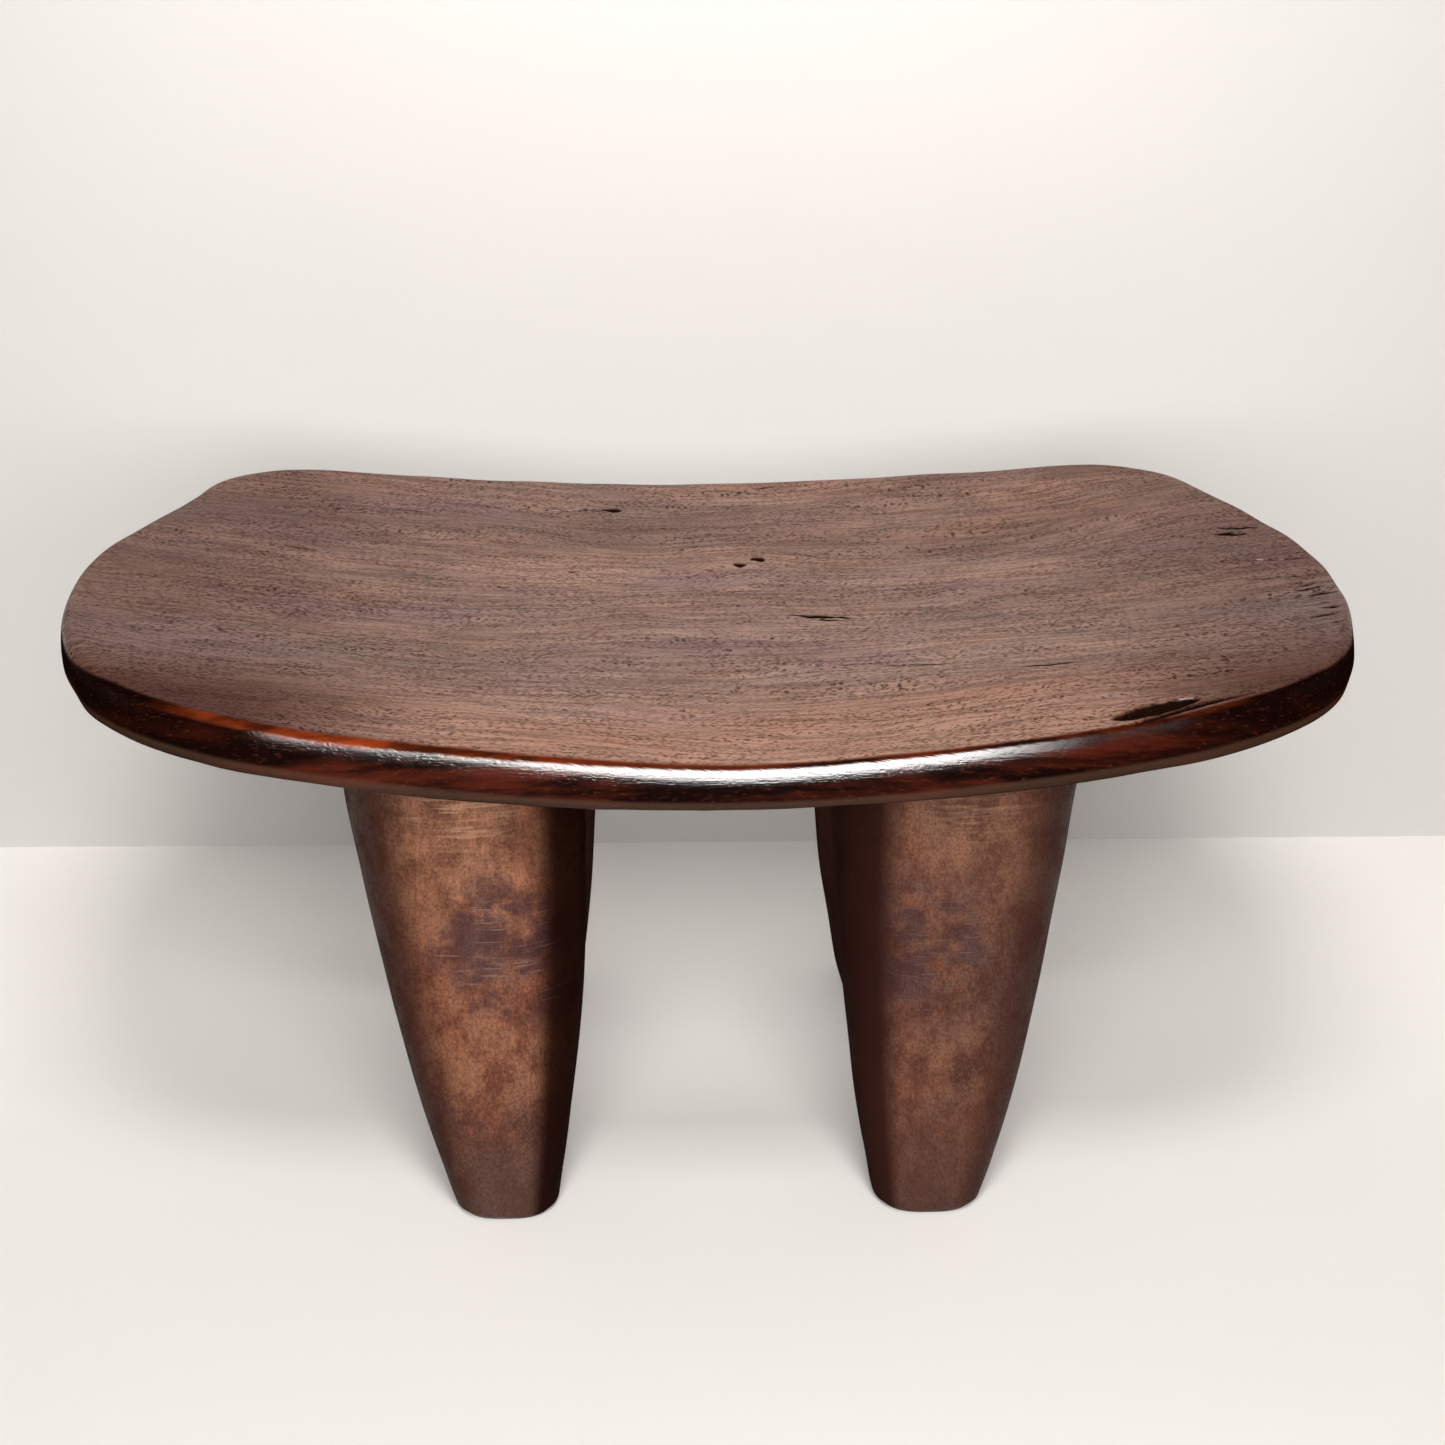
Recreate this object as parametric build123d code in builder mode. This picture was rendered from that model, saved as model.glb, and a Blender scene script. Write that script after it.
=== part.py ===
"""Low stool carved from a single block of hardwood: a dished seat on four tapering legs.

Millimetres, +Z up. The origin is on the floor, under the middle of the seat.
+X runs along the seat and -Y is the side that faces forward.
Each leg meets the seat's rounded underside face to face, as the carver left them in the block.
"""
import os

from build123d import *

os.makedirs("parts", exist_ok=True)

# Seat: plan
seat_length = 400.0
seat_width = 270.0
side_bow = 5.0              # how far each long side bows out past its ends
end_bow = 39.0              # how far each end bows out past its corners
corner_radius = 63.0

# Seat: thickness and curvature
seat_height = 165.0         # floor to the lowest point of the dish
dish_rise = 17.5            # the ends of the seat stand this much above the middle of the dish
middle_thickness = 21.0
end_thickness = 10.5
top_edge_radius = 7.5       # the broad roll around the sitting surface
bottom_edge_radius = 2.5

# Legs: each is a tapering post that swells a little at mid height
foot_width = 32.0           # along X
foot_depth = 36.0           # along Y
shoulder_width = 82.0       # along X, at the height where the leg meets the seat
shoulder_depth = 76.0       # along Y, at the same height
foot_from_middle = (65.5, 72.0)
shoulder_from_middle = (79.0, 42.0)
leg_swell = 3.5             # added to each side of the leg at mid height
corner_share = 0.42         # corner radius of a leg's section, as a share of its narrower side
foot_edge_radius = 1.5
leg_stations = 4            # sections that shape one leg, from the floor to the shoulder

# Sizes that follow from the ones above
half_length = seat_length / 2
half_width = seat_width / 2
corner_x = half_length - end_bow
corner_y = half_width - side_bow
underside_low = seat_height - middle_thickness
underside_rise = dish_rise + middle_thickness - end_thickness
slab_top = seat_height + 2 * dish_rise


def bowl_radius(rise):
    """Radius of the sphere that rises by this much from the middle of the seat to its ends."""
    return (half_length**2 + rise**2) / (2 * rise)


dish_radius = bowl_radius(dish_rise)
underside_radius = bowl_radius(underside_rise)
dish_centre = (0, 0, seat_height + dish_radius)
underside_centre = (0, 0, underside_low + underside_radius)
sphere_turn = (90, 0, 0)    # lays the sphere's poles along Y, clear of the seat

# Where a leg's outer corner meets the underside sets how tall its shoulder has to reach
shoulder_reach = (
    shoulder_from_middle[0] + shoulder_width / 2,
    shoulder_from_middle[1] + shoulder_depth / 2,
)
shoulder_reach_squared = shoulder_reach[0]**2 + shoulder_reach[1]**2
shoulder_height = underside_centre[2] - (underside_radius**2 - shoulder_reach_squared)**0.5


def between(low, high, share):
    """The value this share of the way from low to high."""
    return low + (high - low) * share


# The seat: a bowed rectangle, rounded below by a large sphere and hollowed above by another
with BuildPart() as seat:
    with BuildSketch(Plane.XY.offset(underside_low)) as seat_plan:
        with BuildLine():
            ThreePointArc((-corner_x, corner_y), (0, half_width), (corner_x, corner_y))
            ThreePointArc((corner_x, corner_y), (half_length, 0), (corner_x, -corner_y))
            ThreePointArc((corner_x, -corner_y), (0, -half_width), (-corner_x, -corner_y))
            ThreePointArc((-corner_x, -corner_y), (-half_length, 0), (-corner_x, corner_y))
        make_face()
        fillet(seat_plan.vertices(), corner_radius)
    extrude(amount=slab_top - underside_low)
    with Locations(underside_centre):
        Sphere(underside_radius, rotation=sphere_turn, mode=Mode.INTERSECT)
    with Locations(dish_centre):
        Sphere(dish_radius, rotation=sphere_turn, mode=Mode.SUBTRACT)
    underside, dish = seat.faces().filter_by(GeomType.SPHERE).sort_by(Axis.Z)
    fillet(dish.edges(), top_edge_radius)
    underside = seat.faces().filter_by(GeomType.SPHERE).sort_by(Axis.Z)[0]
    fillet(underside.edges(), bottom_edge_radius)

seat.part.label = "seat"
export_step(seat.part, "parts/seat.step")


def make_leg(name, side_x, side_y):
    """One leg: lofted from the floor to its shoulder, then cut to the seat's underside."""
    with BuildPart() as leg:
        for number in range(leg_stations):
            share = number / (leg_stations - 1)
            swell = 8 * leg_swell * share * (1 - share)
            width = between(foot_width, shoulder_width, share) + swell
            depth = between(foot_depth, shoulder_depth, share) + swell
            place_x = between(foot_from_middle[0], shoulder_from_middle[0], share)
            place_y = between(foot_from_middle[1], shoulder_from_middle[1], share)
            with BuildSketch(Plane.XY.offset(shoulder_height * share)):
                with Locations((side_x * place_x, side_y * place_y)):
                    RectangleRounded(width, depth, corner_share * min(width, depth))
        loft()
        with Locations(underside_centre):
            Sphere(underside_radius, rotation=sphere_turn, mode=Mode.SUBTRACT)
        sole = leg.faces().sort_by(Axis.Z)[0]
        fillet(sole.edges(), foot_edge_radius)
    leg.part.label = name
    export_step(leg.part, f"parts/{name}.step")


for row_name, side_y in (("front", -1), ("back", 1)):
    for side_name, side_x in (("left", -1), ("right", 1)):
        make_leg(f"{row_name}_{side_name}_leg", side_x, side_y)
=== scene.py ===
"""Looks of a low carved stool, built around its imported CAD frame.

Metres, +Z up, the seat runs along X and its front faces -Y, as in the CAD model.
One block of dark hardwood: the seat and the four legs are built as fine meshes over their CAD nodes.
"""
import math

import bmesh
import bpy
import numpy as np
from mathutils import Matrix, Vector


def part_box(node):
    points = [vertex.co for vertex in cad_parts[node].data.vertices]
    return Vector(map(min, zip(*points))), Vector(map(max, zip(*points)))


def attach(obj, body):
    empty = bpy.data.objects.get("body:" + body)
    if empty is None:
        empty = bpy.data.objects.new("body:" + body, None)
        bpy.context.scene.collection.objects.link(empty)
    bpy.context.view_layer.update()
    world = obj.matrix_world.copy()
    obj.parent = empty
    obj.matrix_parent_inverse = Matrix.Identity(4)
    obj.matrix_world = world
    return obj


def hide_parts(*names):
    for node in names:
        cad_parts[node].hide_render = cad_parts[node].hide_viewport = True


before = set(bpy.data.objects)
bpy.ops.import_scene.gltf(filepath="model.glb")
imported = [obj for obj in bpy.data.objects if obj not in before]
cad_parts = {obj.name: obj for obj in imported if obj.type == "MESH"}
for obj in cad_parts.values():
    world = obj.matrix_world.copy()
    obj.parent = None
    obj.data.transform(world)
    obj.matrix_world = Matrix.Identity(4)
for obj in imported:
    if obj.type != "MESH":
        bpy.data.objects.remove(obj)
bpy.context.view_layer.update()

MM = 0.001

# ---------------------------------------------------------------- driving dimensions, in metres
seat_low, seat_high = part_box("seat")
HALF_LENGTH = (seat_high[0] - seat_low[0]) / 2
HALF_WIDTH = (seat_high[1] - seat_low[1]) / 2
SIDE_BOW = 5.0 * MM
END_BOW = 39.0 * MM
CORNER_RADIUS = 63.0 * MM

MIDDLE_THICKNESS = 21.0 * MM
END_THICKNESS = 10.5 * MM
DISH_RISE = 17.5 * MM
DISH_LOW = seat_low[2] + MIDDLE_THICKNESS
FRONT_ROLL, END_ROLL, BACK_ROLL = 10.0 * MM, 3.2 * MM, 5.5 * MM    # the rim's roll, in from the outline
ROLL_SHARE = 0.80               # share of the edge's height taken by that roll
ROLL_START, ROLL_END = 0.46, 0.62   # how far the roll keeps its first and last direction
EDGE_LEAN = math.radians(22)    # the face of the front edge leans back by this much, looking up
UNDER_ROLL_WIDTH = 2.2 * MM     # the tight roll at the bottom of the edge
FRONT_DROP = 4.3 * MM           # the front rim is worn lower in the middle
FRONT_DROP_REACH = 70.0 * MM
CORNER_LIFT = 2.2 * MM          # and stands a little proud at the two front corners
CORNER_PLACE = 148.0 * MM
CORNER_REACH = 28.0 * MM
RIM_REACH = 42.0 * MM           # how far in from the rim those two are felt

# Leg silhouettes at four even heights, foot to shoulder: distance out from the middle of the seat
LEG_INNER = [50.2 * MM, 42.8 * MM, 39.2 * MM, 38.1 * MM]
LEG_OUTER = [82.0 * MM, 97.2 * MM, 107.6 * MM, 116.8 * MM]
# Depth-wise centre and half depth at the foot, mid height and shoulder
LEG_CENTRE = [72.0 * MM, 56.0 * MM, 43.0 * MM]
LEG_HALF_DEPTH = [18.0 * MM, 28.0 * MM, 37.0 * MM]
LEG_SQUARENESS = (2.8, 2.2)     # power of the superellipse section, at the foot and the shoulder
LEG_LEAN = 2.1 * MM             # all four legs lean a little, shoulder towards -X
COVE_RADIUS = 6.0 * MM          # carved fillet where a leg runs into the seat
LEG_EMBED = 2.0 * MM            # how far a leg's mesh runs up into the seat
SOLE_ROUND = 1.8 * MM


def sphere_radius(rise):
    """Radius of the sphere that rises this much from the middle of the seat to its ends."""
    return (HALF_LENGTH**2 + rise**2) / (2 * rise)


DISH_RADIUS = sphere_radius(DISH_RISE)
UNDER_RADIUS = sphere_radius(DISH_RISE + MIDDLE_THICKNESS - END_THICKNESS)


# ---------------------------------------------------------------- small helpers
def smoothstep(low, high, value):
    share = np.clip((value - low) / (high - low), 0.0, 1.0)
    return share * share * (3 - 2 * share)


def through(values, share):
    """Polynomial through values spaced evenly from share 0 to 1."""
    knots = np.linspace(0, 1, len(values))
    total = 0.0
    for i, value in enumerate(values):
        weight = 1.0
        for j, knot in enumerate(knots):
            if j != i:
                weight = weight * (share - knot) / (knots[i] - knot)
        total = total + value * weight
    return total


def bezier(a, b, c, d, t):
    return a * (1 - t)**3 + 3 * b * t * (1 - t)**2 + 3 * c * t * t * (1 - t) + d * t**3


class Ripple:
    """Smooth seeded irregularity in three dimensions: a sum of waves of about one wavelength."""

    WAVES = 18

    def __init__(self, seed, wavelength, stretch=(1, 1, 1)):
        rng = np.random.default_rng(seed)
        heading = rng.normal(size=(self.WAVES, 3))
        heading /= np.linalg.norm(heading, axis=1, keepdims=True)
        size = 2 * math.pi / (wavelength * rng.uniform(0.7, 1.5, (self.WAVES, 1)))
        self.vectors = heading * size / np.array(stretch)
        self.phases = rng.uniform(0, 2 * math.pi, self.WAVES)
        self.scale = math.sqrt(2 / self.WAVES)

    def __call__(self, points):
        return np.sin(points @ self.vectors.T + self.phases).sum(axis=-1) * self.scale


def new_object(name, vertices, faces, attributes=None):
    """Smooth-shaded mesh object with optional float attributes per vertex."""
    mesh = bpy.data.meshes.new(name)
    mesh.from_pydata(vertices.tolist(), [], faces)
    for label, values in (attributes or {}).items():
        layer = mesh.attributes.new(label, "FLOAT", "POINT")
        layer.data.foreach_set("value", np.asarray(values, dtype=np.float32))
    mesh.shade_smooth()
    mesh.update()
    piece = bpy.data.objects.new(name, mesh)
    bpy.context.scene.collection.objects.link(piece)
    return piece


def clean_mesh(piece):
    """Welds coinciding vertices, turns every face outwards and shades the mesh smooth."""
    mesh = bmesh.new()
    mesh.from_mesh(piece.data)
    bmesh.ops.remove_doubles(mesh, verts=mesh.verts, dist=1e-7)
    bmesh.ops.recalc_face_normals(mesh, faces=mesh.faces)
    mesh.to_mesh(piece.data)
    mesh.free()
    piece.data.shade_smooth()


# ---------------------------------------------------------------- the seat's plan
QUARTER_POINTS = 600            # points that the outline is worked out at, for each quarter of it


def plan_table():
    """Points and outward normals evenly along the plan: four bowed sides with rounded corners."""
    corner_x, corner_y = HALF_LENGTH - END_BOW, HALF_WIDTH - SIDE_BOW
    side_radius = (corner_x**2 + SIDE_BOW**2) / (2 * SIDE_BOW)
    end_radius = (corner_y**2 + END_BOW**2) / (2 * END_BOW)
    side_centre = np.array([0.0, HALF_WIDTH - side_radius])
    end_centre = np.array([HALF_LENGTH - end_radius, 0.0])
    # The corner arc's centre lies at a known distance from each of the other two
    gap = end_centre - side_centre
    far = np.linalg.norm(gap)
    to_side, to_end = side_radius - CORNER_RADIUS, end_radius - CORNER_RADIUS
    along = (to_side**2 - to_end**2 + far**2) / (2 * far)
    across = math.sqrt(to_side**2 - along**2)
    unit = gap / far
    corner_centre = side_centre + along * unit - across * np.array([-unit[1], unit[0]])
    turn_side = math.atan2(*(corner_centre - side_centre)[::-1])
    turn_end = math.atan2(*(corner_centre - end_centre)[::-1])
    lengths = np.array([
        (math.pi / 2 - turn_side) * side_radius,
        (turn_side - turn_end) * CORNER_RADIUS,
        turn_end * end_radius,
    ])
    first, second = lengths[0], lengths[0] + lengths[1]
    run = (np.arange(QUARTER_POINTS) + 0.5) * lengths.sum() / QUARTER_POINTS
    turn = np.select(
        [run < first, run < second],
        [math.pi / 2 - run / side_radius, turn_side - (run - first) / CORNER_RADIUS],
        turn_end - (run - second) / end_radius,
    )
    normal = np.stack([np.cos(turn), np.sin(turn)], axis=1)
    centre = np.where((run < first)[:, None], side_centre,
                      np.where((run < second)[:, None], corner_centre, end_centre))
    radius = np.where(run < first, side_radius, np.where(run < second, CORNER_RADIUS, end_radius))
    point = centre + radius[:, None] * normal
    quarters = [(1, 1, 1), (1, -1, -1), (-1, -1, 1), (-1, 1, -1)]
    points = np.concatenate([point[::step] * (sx, sy) for sx, sy, step in quarters])
    normals = np.concatenate([normal[::step] * (sx, sy) for sx, sy, step in quarters])
    return points, normals


PLAN_POINTS, PLAN_NORMALS = plan_table()
plan_waver = Ripple(11, 90 * MM)
WAVER_DEPTH = 0.25 * MM
CORNER_CUT = 6.0 * MM           # the two back corners are carved away a little more
CUT_DEEPEST = 0.30              # how far the outline faces back where that cut is deepest
CUT_END_LEFT, CUT_END_RIGHT = 0.78, 1.0     # and where it has faded out again


def plan_at(share):
    """Outline point and outward normal at this share of the way round, clockwise from the back."""
    count = len(PLAN_POINTS)
    place = np.mod(share * count - 0.5, count)
    index = np.arange(-1, count + 1)
    point = [np.interp(place, index, PLAN_POINTS[index % count, axis]) for axis in (0, 1)]
    normal = [np.interp(place, index, PLAN_NORMALS[index % count, axis]) for axis in (0, 1)]
    point, normal = np.stack(point, -1), np.stack(normal, -1)
    normal /= np.linalg.norm(normal, axis=-1, keepdims=True)
    flat = np.concatenate([point, np.zeros_like(point[..., :1])], axis=-1)
    cut_end = np.where(point[..., 0] < 0, CUT_END_LEFT, CUT_END_RIGHT)
    facing = normal[..., 1]
    cut = CORNER_CUT * smoothstep(0, CUT_DEEPEST, facing) * smoothstep(cut_end, CUT_DEEPEST, facing)
    return point + normal * (WAVER_DEPTH * plan_waver(flat) - cut)[..., None], normal


def bowl(points, low, radius):
    """Height of the sphere of this radius, lowest at the middle of the seat."""
    return low + radius - np.sqrt(radius**2 - (points**2).sum(axis=-1))


def bowl_slope(points, heading, radius):
    return (points * heading).sum(axis=-1) / np.sqrt(radius**2 - (points**2).sum(axis=-1))


# ---------------------------------------------------------------- the seat's surface
TOP, ROLL, UNDER_ROLL, UNDERSIDE = 1.0, 2.0, 3.0, 4.0


def roll_width(normal):
    """How far in from the outline the top starts to roll over: widest along the front."""
    facing = normal[..., 1]
    width = END_ROLL + (FRONT_ROLL - END_ROLL) * smoothstep(-0.18, -0.55, facing)
    return width + (BACK_ROLL - END_ROLL) * smoothstep(0.10, 0.95, facing)


def rim_shift(edge):
    """Height added at the rim by wear and carving, felt only along the front."""
    x, y = edge[..., 0], edge[..., 1]
    shift = -FRONT_DROP * np.exp(-(x / FRONT_DROP_REACH)**2)
    shift = shift + CORNER_LIFT * np.exp(-((np.abs(x) - CORNER_PLACE) / CORNER_REACH)**2)
    return shift * smoothstep(0, -0.45 * HALF_WIDTH, y)


def rim_profile(edge, normal, down):
    """Points over the rolled edge and under it, for down from 1 to 3."""
    width = roll_width(normal)
    roll_start = edge - normal * width[..., None]
    under_end = edge - normal * UNDER_ROLL_WIDTH
    z_roll = bowl(roll_start, DISH_LOW, DISH_RADIUS) + rim_shift(edge)
    z_under = bowl(under_end, seat_low[2], UNDER_RADIUS)
    slope_roll = bowl_slope(roll_start, normal, DISH_RADIUS) + rim_shift(edge) / RIM_REACH
    slope_under = bowl_slope(under_end, normal, UNDER_RADIUS)
    z_tip_top = z_roll + slope_roll * width
    z_tip_low = z_under + slope_under * UNDER_ROLL_WIDTH
    thickness = z_tip_top - z_tip_low
    z_side = z_tip_low + (1 - ROLL_SHARE) * thickness
    lean = EDGE_LEAN * smoothstep(-0.15, -0.60, normal[..., 1])
    face_out, face_up = -np.sin(lean), np.cos(lean)
    first, last = ROLL_START * width, ROLL_END * ROLL_SHARE * thickness
    tuck = 0.35 * (1 - ROLL_SHARE) * thickness
    t_roll, t_under = np.clip(down - TOP, 0, 1), np.clip(down - ROLL, 0, 1)
    out_roll = bezier(-width, -width + first, face_out * last, 0, t_roll)
    z_over = bezier(z_roll, z_roll + slope_roll * first, z_side + face_up * last, z_side, t_roll)
    out_under = bezier(0, -face_out * tuck, -UNDER_ROLL_WIDTH * 0.35, -UNDER_ROLL_WIDTH, t_under)
    z_below = bezier(z_side, z_side - face_up * tuck,
                     z_under + slope_under * UNDER_ROLL_WIDTH * 0.65, z_under, t_under)
    out = np.where(down < ROLL, out_roll, out_under)
    height = np.where(down < ROLL, z_over, z_below)
    return np.concatenate([edge + normal * out[..., None], height[..., None]], axis=-1)


def seat_surface(share, down):
    """Points of the seat. down runs 0 to 1 over the top, from the middle to the roll, then
    1 to 2 over the roll, 2 to 3 under the edge and 3 to 4 back to the middle underneath."""
    edge, normal = plan_at(share)
    rim = rim_profile(edge, normal, np.clip(down, TOP, UNDER_ROLL))
    on_top = down < TOP
    inset = np.where(on_top, roll_width(normal), UNDER_ROLL_WIDTH)
    start = edge - normal * inset[..., None]
    flat_xy = start * np.where(on_top, down, UNDERSIDE - down)[..., None]
    limit = 0.99 * HALF_LENGTH
    flat_xy = flat_xy * np.minimum(1, limit / (np.linalg.norm(flat_xy, axis=-1, keepdims=True) + 1e-9))
    radius = np.where(on_top, DISH_RADIUS, UNDER_RADIUS)
    low = np.where(on_top, DISH_LOW, seat_low[2])
    height = bowl(flat_xy, low, radius)
    inward = np.linalg.norm(start - flat_xy, axis=-1) / RIM_REACH
    height = height + rim_shift(edge) * np.where(on_top, np.clip(1 - inward / 2, 0, 1)**2, 0)
    flat = np.concatenate([flat_xy, height[..., None]], axis=-1)
    rolled = ((down >= TOP) & (down <= UNDER_ROLL))[..., None]
    return np.where(rolled, rim, flat)


def seat_normals(share, down):
    """Outward normals of the seat, from the slope of its surface."""
    step_share, step_down = 2e-4, 1e-3
    along = seat_surface(share + step_share, down) - seat_surface(share - step_share, down)
    low, high = np.clip(down - step_down, 0, UNDERSIDE), np.clip(down + step_down, 0, UNDERSIDE)
    across = seat_surface(share, high) - seat_surface(share, low)
    normal = np.cross(along, across)
    length = np.linalg.norm(normal, axis=-1, keepdims=True)
    upright = np.where(down < ROLL, 1.0, -1.0)[:, None] * np.array([0.0, 0.0, 1.0])
    return np.where(length > 1e-16, normal / np.maximum(length, 1e-16), upright)


# Checks, pits and knots on the seat: ends in plan, width and depth, all in millimetres
SEAT_FLAWS = [
    # end-grain checks at the right-hand end
    ((170.6, 43.8), (181.0, 39.6), 2.4, 0.9), ((172.9, 48.3), (186.2, 43.0), 1.5, 0.6),
    ((175.0, 17.8), (195.4, 11.8), 0.9, 0.7), ((172.5, 1.3), (195.6, -4.6), 0.8, 0.6),
    ((184.4, -16.6), (193.6, -15.6), 1.5, 1.2), ((186.0, -12.8), (190.6, -11.8), 1.1, 0.8),
    ((186.2, -23.3), (195.4, -24.8), 2.0, 1.5), ((187.0, -33.9), (190.4, -34.3), 1.0, 0.7),
    ((186.4, -38.9), (192.2, -40.0), 1.6, 1.1), ((181.4, -46.4), (190.6, -45.4), 1.3, 0.9),
    ((186.0, -54.1), (189.8, -54.7), 0.9, 0.6),
    # two little pits behind the middle, with finer ones beside them
    ((10.2, 54.2), (14.8, 54.8), 2.9, 1.5), ((16.0, 58.9), (21.2, 59.2), 3.0, 1.5),
    ((4.9, 53.0), (7.8, 53.0), 1.0, 0.6), ((0.9, 49.2), (3.4, 49.2), 0.9, 0.5),
    # long check near the back edge, opening into a dark knot
    ((-56.0, 103.4), (-27.5, 104.2), 1.1, 0.8), ((-34.6, 104.3), (-27.0, 104.5), 2.9, 1.5),
    ((20.0, 124.0), (28.6, 126.4), 0.9, 0.5),
    # dark sliver right of the middle, and fine ones around it
    ((26.0, 3.6), (46.5, -1.2), 2.4, 0.9), ((33.0, -0.8), (42.0, -3.0), 1.3, 0.7),
    ((50.5, -50.0), (71.7, -50.6), 1.5, 0.7), ((91.6, -59.5), (109.7, -59.0), 1.8, 0.8),
    ((-46.0, 47.4), (-42.8, 47.5), 1.2, 0.6), ((-68.8, 30.4), (-64.2, 30.9), 1.2, 0.6),
    ((-107.0, 96.0), (-95.0, 94.6), 0.9, 0.4), ((-140.0, 52.0), (-127.5, 49.0), 0.8, 0.4),
]
# The bark hollow at the front right edge: a deep lens and a longer groove, with a ridge between
EDGE_HOLLOWS = [
    ((108.5, -118.3), (134.5, -111.6), 9.0, 3.2),
    ((112.0, -124.8), (150.0, -113.2), 3.8, 1.9),
]
# The wood swells a little behind it, as a flaw of negative depth
HOLLOW_LIP = ((122.0, -106.6), (160.0, -105.4), 7.0, -0.3)
FLAW_MARGIN = 1.5 * MM


def along_across(points, flaw):
    """Place of each point along a flaw, -1 to 1 from end to end, its distance across it, and half
    the flaw's length."""
    a, b = np.array(flaw[0]) * MM, np.array(flaw[1]) * MM
    middle, heading = (a + b) / 2, b - a
    half = np.linalg.norm(heading) / 2
    heading = heading / (2 * half)
    offset = points[..., :2] - middle
    along = (offset @ heading) / half
    across = offset @ np.array([-heading[1], heading[0]])
    return along, across, half


flaw_wobble = Ripple(23, 5 * MM)


def flaw_depth(points, flaw, sharpness=2.0, wobble=0.12):
    """How deep this flaw is at each point: lens-shaped in plan, tapering to both ends."""
    width, depth = flaw[2] * MM, flaw[3] * MM
    along, across, _ = along_across(points, flaw)
    taper = np.clip(1 - along**2, 0, None)
    across = across + wobble * width * flaw_wobble(points)
    half_width = 0.5 * width * np.sqrt(taper) + 1e-6
    return depth * np.sqrt(taper) * np.exp(-np.abs(across / half_width)**sharpness * 1.6)


def near_flaws(points, down):
    """True where the mesh needs finer faces: by a flaw on the top or its roll."""
    near = np.zeros(points.shape[:-1], dtype=bool)
    for flaw in SEAT_FLAWS + EDGE_HOLLOWS:
        along, across, half = along_across(points, flaw)
        reach = flaw[2] * MM / 2 + FLAW_MARGIN
        near |= (np.abs(along) < 1 + FLAW_MARGIN / half) & (np.abs(across) < reach)
    return near & (down < ROLL - 0.1)


top_swell = Ripple(31, 70 * MM, stretch=(1.6, 1, 1))
top_ripple = Ripple(32, 22 * MM, stretch=(2.5, 1, 1))
edge_swell = Ripple(33, 26 * MM)
adze_seed = np.random.default_rng(34)
ADZE_CENTRES = adze_seed.uniform((-1, -1), (1, 1), (230, 2)) * (HALF_LENGTH, HALF_WIDTH)
TOP_SWELL_DEPTH, TOP_RIPPLE_DEPTH, EDGE_SWELL_DEPTH = 0.35 * MM, 0.06 * MM, 0.10 * MM
# Flaws are painted dark as shade in their recesses
CAVITY_DARK_AT, HOLLOW_DARK_AT = 0.25 * MM, 0.8 * MM    # depths from which a flaw is fully dark
ADZE_DEPTH = 0.5 * MM
ADZE_SIZE = 15 * MM


def adze_facets(points):
    """Shallow scallops left by the adze on the underside."""
    squashed = (points[:, None, :2] - ADZE_CENTRES[None]) * (1.0, 0.75)
    nearest = np.sqrt((squashed**2).sum(-1).min(axis=1))
    return -ADZE_DEPTH * (1 - np.clip(nearest / ADZE_SIZE, 0, 1)**2)


SEAT_COLUMNS = 500
TOP_RINGS, ROLL_RINGS, UNDER_ROLL_RINGS, UNDERSIDE_RINGS = 62, 16, 8, 36
FLAW_CUTS = 5


def seat_rings():
    """Ring positions from the middle of the top to the middle of the underside."""
    top = np.linspace(0.03, 1, TOP_RINGS)**0.8
    roll = TOP + np.linspace(0, 1, ROLL_RINGS + 1)[1:]
    under_roll = ROLL + np.linspace(0, 1, UNDER_ROLL_RINGS + 1)[1:]
    underside = UNDER_ROLL + np.linspace(0, 0.97, UNDERSIDE_RINGS + 1)[1:]
    return np.concatenate([top, roll, under_roll, underside])


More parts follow.
